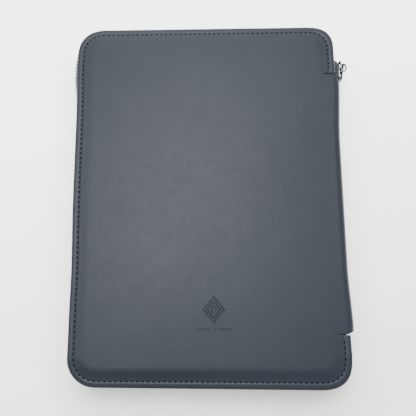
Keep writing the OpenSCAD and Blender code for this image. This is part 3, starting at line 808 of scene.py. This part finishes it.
chrome_finish, tree, shader = new_material("slider_chrome", (0.78, 0.79, 0.8), 0.13)
shader.inputs["Metallic"].default_value = 1.0
scuff = texture(tree, "ShaderNodeTexNoise", 400, Detail=6, Roughness=0.7)
rough = ramp(tree, scuff.outputs["Fac"], 0.4, 0.75, [(0.1,), (0.3,)])
tree.links.new(rough.outputs["Color"], shader.inputs["Roughness"])
# Painted reflection: near-black, sharp-edged patches over about half of the chrome stand for dark
# reflections.
dark_reflection_patches = texture(tree, "ShaderNodeTexNoise", 330, Detail=2)
paint(tree, shader, dark_reflection_patches.outputs["Fac"], 0.46, 0.52, (0.035, 0.037, 0.04), (0.8, 0.8, 0.79))
bump(tree, shader, scuff.outputs["Fac"], 0.12, 0.00006)

nickel_finish, tree, shader = new_material("dark_nickel", (0.1, 0.105, 0.11), 0.22)
shader.inputs["Metallic"].default_value = 1.0
stain = texture(tree, "ShaderNodeTexNoise", 420, Detail=3)
paint(tree, shader, stain.outputs["Fac"], 0.4, 0.62, (0.03, 0.034, 0.036), (0.2, 0.21, 0.21))
bump(tree, shader, stain.outputs["Fac"], 0.12, 0.00006)


def prism(form, outline, axis, low, high):
    """Adds a straight solid to form: an outline in the plane across axis, from low to high."""
    def place(u, v, w):
        return {"x": (w, u, v), "z": (u, v, w)}[axis]
    below = [form.verts.new(place(u, v, low)) for u, v in outline]
    above = [form.verts.new(place(u, v, high)) for u, v in outline]
    form.faces.new(below[::-1])
    form.faces.new(above)
    for k in range(len(outline)):
        n = (k + 1) % len(outline)
        form.faces.new([below[k], below[n], above[n], above[k]])


def solid_piece(name, form, finish, bevel, segments=3):
    bmesh.ops.recalc_face_normals(form, faces=form.faces)
    mesh = bpy.data.meshes.new(name)
    form.to_mesh(mesh)
    form.free()
    piece = put(name, mesh)
    mesh.materials.append(finish)
    edge = piece.modifiers.new("edge", "BEVEL")
    edge.width = bevel
    edge.segments = segments
    edge.limit_method = "ANGLE"
    edge.angle_limit = math.radians(35)
    settle(piece)
    piece.data.polygons.foreach_set("use_smooth", [True] * len(piece.data.polygons))
    return piece


form = bmesh.new()
y0, y1 = body_low.y, body_high.y
plate_x = (chain_x + 1.5 * mm, chain_x + 2.4 * mm)
wings = [(y0, -2.5), (y0 + 1.2 * mm, -3.0), (y0 + 5 * mm, -3.6), (y1 - 1.6 * mm, -3.6), (y1, -2.2),
         (y1 - 0.5 * mm, 0), (y1, 2.2), (y1 - 1.6 * mm, 3.6), (y0 + 5 * mm, 3.6), (y0 + 1.2 * mm, 3.0),
         (y0, 2.5)]
wings = [(y, mid_z + z * mm) for y, z in wings]
prism(form, wings, "x", *plate_x)
prism(form, wings, "x", 2 * chain_x - plate_x[1], 2 * chain_x - plate_x[0])
prism(form, [(y1 - 3.4 * mm, mid_z), (y1 - 1.6 * mm, mid_z - 1.3 * mm), (y1 - 0.7 * mm, mid_z),
             (y1 - 1.6 * mm, mid_z + 1.3 * mm)], "x", 2 * chain_x - plate_x[0], plate_x[0])
for side in (-1, 1):
    for wall in (-1, 1):
        near, far = sorted((chain_x + wall * 0.75 * mm, chain_x + wall * 1.6 * mm))
        prism(form, [(y0 + 5 * mm, mid_z + side * 2.7 * mm), (y1 - 1.6 * mm, mid_z + side * 2.7 * mm),
                     (y1 - 1.6 * mm, mid_z + side * 3.5 * mm), (y0 + 5 * mm, mid_z + side * 3.5 * mm)],
              "x", near, far)
slider = solid_piece("zip_slider_casting", form, chrome_finish, 0.22 * mm)
form = bmesh.new()
crown_y, crown_x0, crown_x1 = (y0 + y1) / 2, plate_x[1] - 0.3 * mm, body_high.x + 1.3 * mm
arch_out = [(crown_x0, crown_y - 3.3 * mm), (crown_x1 - 1.2 * mm, crown_y - 3.2 * mm),
            (crown_x1, crown_y - 1.9 * mm), (crown_x1, crown_y + 1.9 * mm),
            (crown_x1 - 1.2 * mm, crown_y + 3.2 * mm), (crown_x0, crown_y + 3.3 * mm)]
arch_in = [(crown_x0, crown_y + 2.4 * mm), (crown_x1 - 1.6 * mm, crown_y + 2.35 * mm),
           (crown_x1 - 1.0 * mm, crown_y + 1.5 * mm), (crown_x1 - 1.0 * mm, crown_y - 1.5 * mm),
           (crown_x1 - 1.6 * mm, crown_y - 2.35 * mm), (crown_x0, crown_y - 2.4 * mm)]
prism(form, arch_out + arch_in, "z", mid_z - 1.1 * mm, mid_z + 1.1 * mm)
crown = solid_piece("zip_slider_crown", form, nickel_finish, 0.3 * mm)
for piece in (slider, crown):
    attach(piece, "zip_slider")
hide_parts("zip_slider_body")

pin_x, pin_y = plate_x[1] + 1.3 * mm, crown_y
tip_y = pull_low.y
form = bmesh.new()
for side in (-1, 1):
    near, far = sorted((mid_z + side * 1.5 * mm, mid_z + side * 2.9 * mm))
    arm = [(pin_x + 0.95 * mm * math.cos(a), pin_y + 0.95 * mm * math.sin(a))
           for a in np.linspace(0, math.pi, 9)]
    arm += [(pin_x - 0.7 * mm, pin_y - 5 * mm), (pin_x + 0.7 * mm, pin_y - 5 * mm)]
    prism(form, arm, "z", near, far)
ring = [(pin_x + 0.68 * mm * math.cos(a), pin_y + 0.68 * mm * math.sin(a))
        for a in np.linspace(0, 2 * math.pi, 17)[:-1]]
prism(form, ring, "z", mid_z - 1.8 * mm, mid_z + 1.8 * mm)
arms = solid_piece("zip_pull_fork", form, nickel_finish, 0.2 * mm)
form = bmesh.new()
edge = [(pin_y - 4.5 * mm, -2.9), (pin_y - 8 * mm, -2.9), (tip_y + 1.6 * mm, -2.3), (tip_y + 0.3 * mm, -1.2),
        (tip_y, 0), (tip_y + 0.3 * mm, 1.2), (tip_y + 1.6 * mm, 2.3), (pin_y - 8 * mm, 2.9),
        (pin_y - 4.5 * mm, 2.9)]
eye = [(tip_y + 3.4 * mm + 1.5 * mm * math.cos(a), 1.15 * math.sin(a))
       for a in np.linspace(math.pi, -math.pi, 18)[:-1]]
edge = [(y, mid_z + z * mm) for y, z in edge]
eye = [(y, mid_z + z * mm) for y, z in eye]
rim = [form.verts.new((pin_x - 0.7 * mm, y, z)) for y, z in edge]
hole = [form.verts.new((pin_x - 0.7 * mm, y, z)) for y, z in eye]
edges = [form.edges.new((loop[k], loop[(k + 1) % len(loop)])) for loop in (rim, hole)
         for k in range(len(loop))]
bmesh.ops.triangle_fill(form, edges=edges, use_beauty=True)
grown = bmesh.ops.extrude_face_region(form, geom=form.faces[:])
bmesh.ops.translate(form, vec=(1.4 * mm, 0, 0),
                    verts=[v for v in grown["geom"] if isinstance(v, bmesh.types.BMVert)])
blade = solid_piece("zip_pull_blade", form, chrome_finish, 0.25 * mm)
for piece in (arms, blade):
    for v in piece.data.vertices:
        v.co.x -= 1.8 * mm * max(0, pin_y - v.co.y) / (pin_y - tip_y)
    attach(piece, "zip_pull")
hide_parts("zip_pull_tab")

stop_finish, tree, shader = new_material("zip_stop_metal", (0.6, 0.6, 0.6), 0.3)
shader.inputs["Metallic"].default_value = 1.0
pressed = texture(tree, "ShaderNodeTexNoise", 500, Detail=3)
bump(tree, shader, pressed.outputs["Fac"], 0.2, 0.0001)


def dress(finish, *nodes):
    for node in nodes:
        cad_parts[node].data.materials.clear()
        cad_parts[node].data.materials.append(finish)


dress(stop_finish, "front_zip_top_stop", "back_zip_top_stop", "zip_bottom_stop")

# ---- Boards, linings and spine -----------------------------------------------------------------
# Grey board stiffens both covers and the spine. A soft charcoal microfibre is glued over its inner
# side, and a strip of the same cloth crosses each fold so that the spine can swing open.
def soft_slab(name, low, high, radius, finish, round_over, cells=(48, 64), swell=0.0):
    """A cloth-covered slab with rounded corners in plan and rolled-over edges."""
    centre, half = (low + high) / 2, (high - low) / 2
    points, faces = [], []
    nu, nv = cells
    for layer in (1, -1):
        for i in range(nu + 1):
            for j in range(nv + 1):
                u, v = 2 * i / nu - 1, 2 * j / nv - 1
                x, y = u * half.x, v * half.y
                dx = max(0, abs(x) - (half.x - radius)) / radius
                dy = max(0, abs(y) - (half.y - radius)) / radius
                if dx and dy:
                    x = math.copysign(half.x - radius + radius * dx * math.sqrt(1 - dy * dy / 2), x)
                    y = math.copysign(half.y - radius + radius * dy * math.sqrt(1 - dx * dx / 2), y)
                rim = min((1 - abs(u)) * half.x, (1 - abs(v)) * half.y) / round_over
                full = 0.35 + 0.65 * math.sqrt(1 - (1 - min(rim, 1)) ** 2)
                wave = swell * noise.noise(Vector((x * 30, y * 30, layer)))
                points.append(centre + Vector((x, y, layer * (half.z * full + min(0, wave)))))
    size = (nu + 1) * (nv + 1)
    for layer in (0, 1):
        faces += quads(nu + 1, nv + 1, layer * size, flip=not layer)
    rim = [(i, 0) for i in range(nu)] + [(nu, j) for j in range(nv)]
    rim += [(i, nv) for i in range(nu, 0, -1)] + [(0, j) for j in range(nv, 0, -1)]
    rim = [i * (nv + 1) + j for i, j in rim]
    for k in range(len(rim)):
        a, b = rim[k], rim[(k + 1) % len(rim)]
        faces.append([b, a, a + size, b + size])
    return mesh_piece(name, points, faces, finish)


def cloth_strip(name, path, y0, y1, thickness, finish, rows=40, ripple=0.0):
    """A strip of cloth along Y, its section a path of x and z positions."""
    points = []
    for j in range(rows + 1):
        y = y0 + (y1 - y0) * j / rows
        for k, (x, z) in enumerate(path):
            off = ripple * noise.noise(Vector((k * 0.4, y * 60, 3)))
            points.append((x + off, y, z + off))
    faces = quads(rows + 1, len(path))
    strip = thicken(mesh_piece(name, points, faces, finish), thickness, 0)
    return strip


def cloth_finish(name, dark, light, scale=1500):
    finish, tree, shader = new_material(name, light, 0.92)
    nap = texture(tree, "ShaderNodeTexNoise", scale, Detail=4, Roughness=0.7)
    patches = texture(tree, "ShaderNodeTexNoise", 45, Detail=3)
    tint = ramp(tree, nap.outputs["Fac"], 0.3, 0.7, [dark, light])
    brushed = ramp(tree, patches.outputs["Fac"], 0.35, 0.65, [(0.94,), (1.0,)])
    both = mix(tree, "MULTIPLY", 1.0, tint.outputs["Color"], brushed.outputs["Color"])
    tree.links.new(both, shader.inputs["Base Color"])
    shader.inputs["Sheen Weight"].default_value = 0.3
    bump(tree, shader, nap.outputs["Fac"], 0.35, 0.00015)
    return finish


board_finish, tree, shader = new_material("grey_board", (0.3, 0.28, 0.25), 0.9)
fibre = texture(tree, "ShaderNodeTexNoise", 900, Detail=5, Roughness=0.7)
paint(tree, shader, fibre.outputs["Fac"], 0.3, 0.7, (0.22, 0.2, 0.18), (0.36, 0.33, 0.3))
bump(tree, shader, fibre.outputs["Fac"], 0.2, 0.0001)
dress(board_finish, "back_cover_board", "front_cover_board", "spine_board", "tablet_panel_board")

lining_finish = cloth_finish("microfibre_lining", (0.03, 0.033, 0.038), (0.06, 0.064, 0.072))
for cover in ("back_cover", "front_cover"):
    low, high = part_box(cover + "_lining")
    lining = soft_slab(cover + "_microfibre", low, high, 17 * mm, lining_finish, 0.6 * mm, (60, 80),
                       0.06 * mm)
    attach(lining, cover)
    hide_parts(cover + "_lining")

low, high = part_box("spine_lining")
back_low, back_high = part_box("back_cover_lining")
for cover, side in (("back_cover", 1), ("front_cover", -1)):
    face_h = back_low.z - mid_z - 0.35 * mm
    inner_x, turn = low.x + 0.2 * mm, 2.2 * mm
    path = [(inner_x - turn - 6 * mm + 1.2 * mm * k, mid_z + side * face_h) for k in range(6)]
    path += [(inner_x - turn + turn * math.sin(a), mid_z + side * (face_h - turn + turn * math.cos(a)))
             for a in np.linspace(0, math.pi / 2, 7)]
    path += [(inner_x, mid_z + side * h) for h in np.linspace(face_h - turn - 1.2 * mm, 0, 6)]
    strip = cloth_strip(cover + "_fold_strip", path, low.y, high.y, 0.5 * mm, lining_finish, 50,
                        0.1 * mm)
    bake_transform(strip)
    if side > 0:
        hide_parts("spine_lining")

# ---- Keyboard case -----------------------------------------------------------------------------
# The keyboard is a thin ABS tub screwed to a deck. Inside it lie a steel plate, a film circuit with
# silicone domes, a small circuit board and a flat cell, and pads of foam tape hold it to the cover.
def moulded_finish(name, dark, light, roughness=0.5):
    finish, tree, shader = new_material(name, light, roughness)
    spark = texture(tree, "ShaderNodeTexNoise", 2600, Detail=3, Roughness=0.6)
    flow = texture(tree, "ShaderNodeTexNoise", 30, Detail=2)
    paint(tree, shader, flow.outputs["Fac"], 0.35, 0.65, dark, light)
    worn = ramp(tree, spark.outputs["Fac"], 0.3, 0.7, [(roughness - 0.07,), (roughness + 0.07,)])
    tree.links.new(worn.outputs["Color"], shader.inputs["Roughness"])
    bump(tree, shader, spark.outputs["Fac"], 0.2, 0.00006)
    return finish


def metal_finish(name, colour, roughness, scale=500):
    finish, tree, shader = new_material(name, colour, roughness)
    shader.inputs["Metallic"].default_value = 1.0
    mill = texture(tree, "ShaderNodeTexNoise", scale, Detail=4)
    dull = tuple(c * 0.8 for c in colour)
    paint(tree, shader, mill.outputs["Fac"], 0.35, 0.7, dull, colour)
    bump(tree, shader, mill.outputs["Fac"], 0.15, 0.00008)
    return finish


dress(moulded_finish("case_plastic", (0.042, 0.045, 0.05), (0.055, 0.059, 0.066)),
      "keyboard_bottom_case", "keyboard_deck")
dress(moulded_finish("control_plastic", (0.1, 0.105, 0.115), (0.13, 0.137, 0.15), 0.42),
      "keyboard_power_switch", "keyboard_pair_button")
dress(moulded_finish("silicone", (0.42, 0.43, 0.44), (0.52, 0.53, 0.54), 0.6), "keyboard_domes")
dress(moulded_finish("film", (0.5, 0.45, 0.3), (0.6, 0.55, 0.4), 0.3), "keyboard_membrane")
dress(moulded_finish("circuit_laminate", (0.02, 0.1, 0.05), (0.03, 0.16, 0.08), 0.4),
      "keyboard_circuit_board")
dress(moulded_finish("foam_tape", (0.04, 0.04, 0.04), (0.07, 0.07, 0.07), 0.9),
      "keyboard_fixing_pads", "stand_catch_pad")
dress(metal_finish("steel_plate", (0.5, 0.5, 0.49), 0.35), "keyboard_base_plate", "keyboard_usb_socket",
      "keyboard_screws")
dress(metal_finish("cell_foil", (0.7, 0.7, 0.72), 0.28, 120), "keyboard_battery")
light_finish = moulded_finish("light_window", (0.55, 0.6, 0.58), (0.68, 0.72, 0.7), 0.3)
dress(light_finish, "keyboard_status_lights")

# ---- Keys --------------------------------------------------------------------------------------
# Low scissor-style caps in moulded ABS stand in the deck's openings, each with a shallow dish on
# top and a stem that rests on its dome. A row of caps is one piece, the space bar is its own.
key_unit, key_gap = 15.724 * mm, 2.4 * mm
key_finish = moulded_finish("key_plastic", (0.016, 0.017, 0.02), (0.024, 0.026, 0.03), 0.46)


def key_cap(depth, top_z, low_z):
    """One cap of unit width and the given depth, centred on the origin in plan."""
    form = bmesh.new()
    rings, skirt = [], 1.3 * mm
    levels = [(1.0, top_z - skirt), (1.0, top_z - 0.5 * mm), (0.985, top_z - 0.2 * mm),
              (0.955, top_z - 0.05 * mm), (0.9, top_z), (0.7, top_z - 0.06 * mm),
              (0.4, top_z - 0.14 * mm), (0.15, top_z - 0.16 * mm)]
    for grow, z in levels:
        ring = []
        for k in range(32):
            a = 2 * math.pi * (k + 0.5) / 32
            c, s = math.cos(a), math.sin(a)
            ring.append(form.verts.new((math.copysign(abs(c) ** 0.22, c) * grow / 2,
                                        math.copysign(abs(s) ** 0.22, s) * grow / 2, z)))
        rings.append(ring)
    for below, above in zip(rings, rings[1:]):
        for k in range(32):
            n = (k + 1) % 32
            form.faces.new([below[k], below[n], above[n], above[k]])
    form.faces.new(rings[-1])
    form.faces.new(rings[0][::-1])
    stem = [[form.verts.new((0.1 * math.cos(a), 0.1 * math.sin(a), z))
             for a in np.linspace(0, 2 * math.pi, 13)[:-1]] for z in (low_z, top_z - skirt + 0.1 * mm)]
    for k in range(12):
        n = (k + 1) % 12
        form.faces.new([stem[0][k], stem[0][n], stem[1][n], stem[1][k]])
    form.faces.new(stem[0][::-1])
    form.faces.new(stem[1])
    mesh = bpy.data.meshes.new("cap")
    form.to_mesh(mesh)
    form.free()
    for face in mesh.polygons:
        face.use_smooth = True
    return put("cap", mesh)


def key_row(name, node, widths, body):
    low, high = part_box(node)
    depth = high.x - low.x
    y = high.y + key_gap / 2
    places, sizes = [], []
    for units in widths:
        width = abs(units) * key_unit
        if units > 0:
            places.append(((low.x + high.x) / 2, y - width / 2, 0))
            sizes.append((depth, width - key_gap, 1.0))
        y -= width
    tree = node_group(
        name + "_caps", (("Points", "Geometry"), ("Cap", "Object"), ("Finish", "Material")),
        (("GeometryNodeInputNamedAttribute", "data_type", "FLOAT_VECTOR"),),
        (("NodeGroupInput", "Points", "GeometryNodeMeshToPoints", "Mesh"),
         ("NodeGroupInput", "Cap", "GeometryNodeObjectInfo", "Object"),
         ("GeometryNodeMeshToPoints", "Points", "GeometryNodeInstanceOnPoints", "Points"),
         ("GeometryNodeObjectInfo", "Geometry", "GeometryNodeInstanceOnPoints", "Instance"),
         ("GeometryNodeInputNamedAttribute", "Attribute", "GeometryNodeInstanceOnPoints", "Scale")
         ) + copies_to_result)
    tree.nodes["Named Attribute"].inputs["Name"].default_value = "cap_size"
    mesh = bpy.data.meshes.new(name)
    mesh.from_pydata(places, [], [])
    cap_size = mesh.attributes.new("cap_size", "FLOAT_VECTOR", "POINT")
    cap_size.data.foreach_set("vector", [c for size in sizes for c in size])
    piece = put(name, mesh)
    cap = key_cap(depth, high.z, low.z)
    run_nodes(piece, tree, cap, {"Cap": cap, "Finish": key_finish})
    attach(piece, body)
    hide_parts(node)
    return piece


key_row("function_caps", "keys_function_row", [14.5 / 14] * 14, "function_keys")
key_row("number_caps", "keys_number_row", [1] * 13 + [1.5], "number_keys")
key_row("upper_caps", "keys_upper_row", [1.5] + [1] * 13, "upper_keys")
key_row("home_caps", "keys_home_row", [1.75] + [1] * 11 + [1.75], "home_keys")
key_row("lower_caps", "keys_lower_row", [2.25] + [1] * 10 + [2.25], "lower_keys")
key_row("bottom_caps", "keys_bottom_row", [1, 1, 1, 1.25, -5, 1.25, 1, 1, 1, 1], "bottom_keys")
key_row("space_cap", "key_space_bar", [5], "space_bar")

# ---- Tablet panel and stand --------------------------------------------------------------------
# The tablet lies on a cloth-covered panel that swings out of the back cover on a cloth hinge. Four
# elastic bands hold its corners, and a leg folds out of the panel's back as its prop.
panel_finish = cloth_finish("panel_cloth", (0.035, 0.038, 0.044), (0.068, 0.072, 0.08), 1300)
for node, name in (("tablet_panel_facing", "tablet_panel_front_cloth"),
                   ("tablet_panel_backing", "tablet_panel_rear_cloth")):
    low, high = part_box(node)
    cloth = soft_slab(name, low, high, 8 * mm, panel_finish, 0.35 * mm, (56, 76), 0.03 * mm)
    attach(cloth, "tablet_panel")
    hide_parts(node)

low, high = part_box("tablet_panel_hinge")
rear_low, rear_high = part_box("tablet_panel_backing")
hinge_path = [(high.x - 0.2 * mm, high.z - 0.3 * mm), (high.x - 1.4 * mm, high.z - 0.3 * mm),
              (high.x - 2.5 * mm, high.z - 0.35 * mm), (high.x - 3.4 * mm, high.z - 0.7 * mm),
              (high.x - 4.0 * mm, high.z - 1.15 * mm), (high.x - 4.8 * mm, rear_high.z + 0.35 * mm),
              (rear_high.x - 0.2 * mm, rear_high.z + 0.22 * mm),
              (rear_high.x - 2.5 * mm, rear_high.z + 0.2 * mm),
              (rear_high.x - 5.5 * mm, rear_high.z + 0.2 * mm)]
hinge = cloth_strip("tablet_panel_cloth_hinge", hinge_path, low.y, high.y, 0.36 * mm, panel_finish, 60,
                    0.05 * mm)
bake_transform(hinge)
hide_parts("tablet_panel_hinge")

elastic_finish, tree, shader = new_material("elastic_band", (0.02, 0.021, 0.024), 0.75)
braid = texture(tree, "ShaderNodeTexWave", 420, Distortion=0.6)
paint(tree, shader, braid.outputs["Fac"], 0.1, 0.9, (0.012, 0.013, 0.016), (0.035, 0.037, 0.042))
bump(tree, shader, braid.outputs["Fac"], 0.6, 0.0002)
low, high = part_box("tablet_corner_straps")
band_z, root_z, band_w, reach, band_t = low.z + 0.3 * mm, high.z, 13 * mm, 34 * mm, 0.6 * mm
points, faces = [], []
for sx in (-1, 1):
    for sy in (-1, 1):
        corner = Vector(((high.x if sx > 0 else low.x) - sx * 0.3 * mm,
                         (high.y if sy > 0 else low.y) - sy * 0.3 * mm))
        first = len(points)
        for edge in (-0.5, 0.5):
            a = Vector((corner.x, corner.y - sy * (reach - 9 * mm + edge * band_w * 1.41)))
            b = Vector((corner.x - sx * (reach - 9 * mm + edge * band_w * 1.41), corner.y))
            run = [(a, root_z), (a, root_z - 2.4 * mm), (a, root_z - 5 * mm), (a, band_z + 1.1 * mm)]
            run += [(a.lerp(b, 0.012), band_z + 0.35 * mm)]
            run += [(a.lerp(b, t), band_z) for t in (0.04, 0.2, 0.4, 0.6, 0.8, 0.96)]
            run += [(a.lerp(b, 0.988), band_z + 0.35 * mm)]
            run += [(b, band_z + 1.1 * mm), (b, root_z - 5 * mm), (b, root_z - 2.4 * mm), (b, root_z)]
            points += [(p.x, p.y, z) for p, z in run]
        count = (len(points) - first) // 2
        for k in range(count - 1):
            face = [first + k, first + k + 1, first + count + k + 1, first + count + k]
            faces.append(face if sx * sy > 0 else face[::-1])
straps = thicken(mesh_piece("tablet_elastic_corners", points, faces, elastic_finish), band_t, 0)
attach(straps, "tablet_panel")
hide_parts("tablet_corner_straps")

leg_low, leg_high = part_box("stand_leg")
leg = soft_slab("stand_leg_cloth", leg_low, leg_high, 9 * mm, panel_finish, 0.5 * mm, (40, 44),
                0.03 * mm)
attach(leg, "stand_leg")
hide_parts("stand_leg")
low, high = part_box("stand_leg_hinge")
mid = (leg_low.z + leg_high.z) / 2
strip_path = [(high.x - 0.3 * mm, low.z + 0.22 * mm), (high.x - 5 * mm, low.z + 0.22 * mm),
              (low.x + 1.5 * mm, low.z + 0.25 * mm), (low.x, low.z + 0.4 * mm),
              (leg_high.x, mid - 0.1 * mm), (leg_high.x - 1.6 * mm, mid), (leg_high.x - 3 * mm, mid)]
strip = cloth_strip("stand_leg_cloth_hinge", strip_path, low.y, high.y, 0.34 * mm, panel_finish, 30)
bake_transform(strip)
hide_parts("stand_leg_hinge")
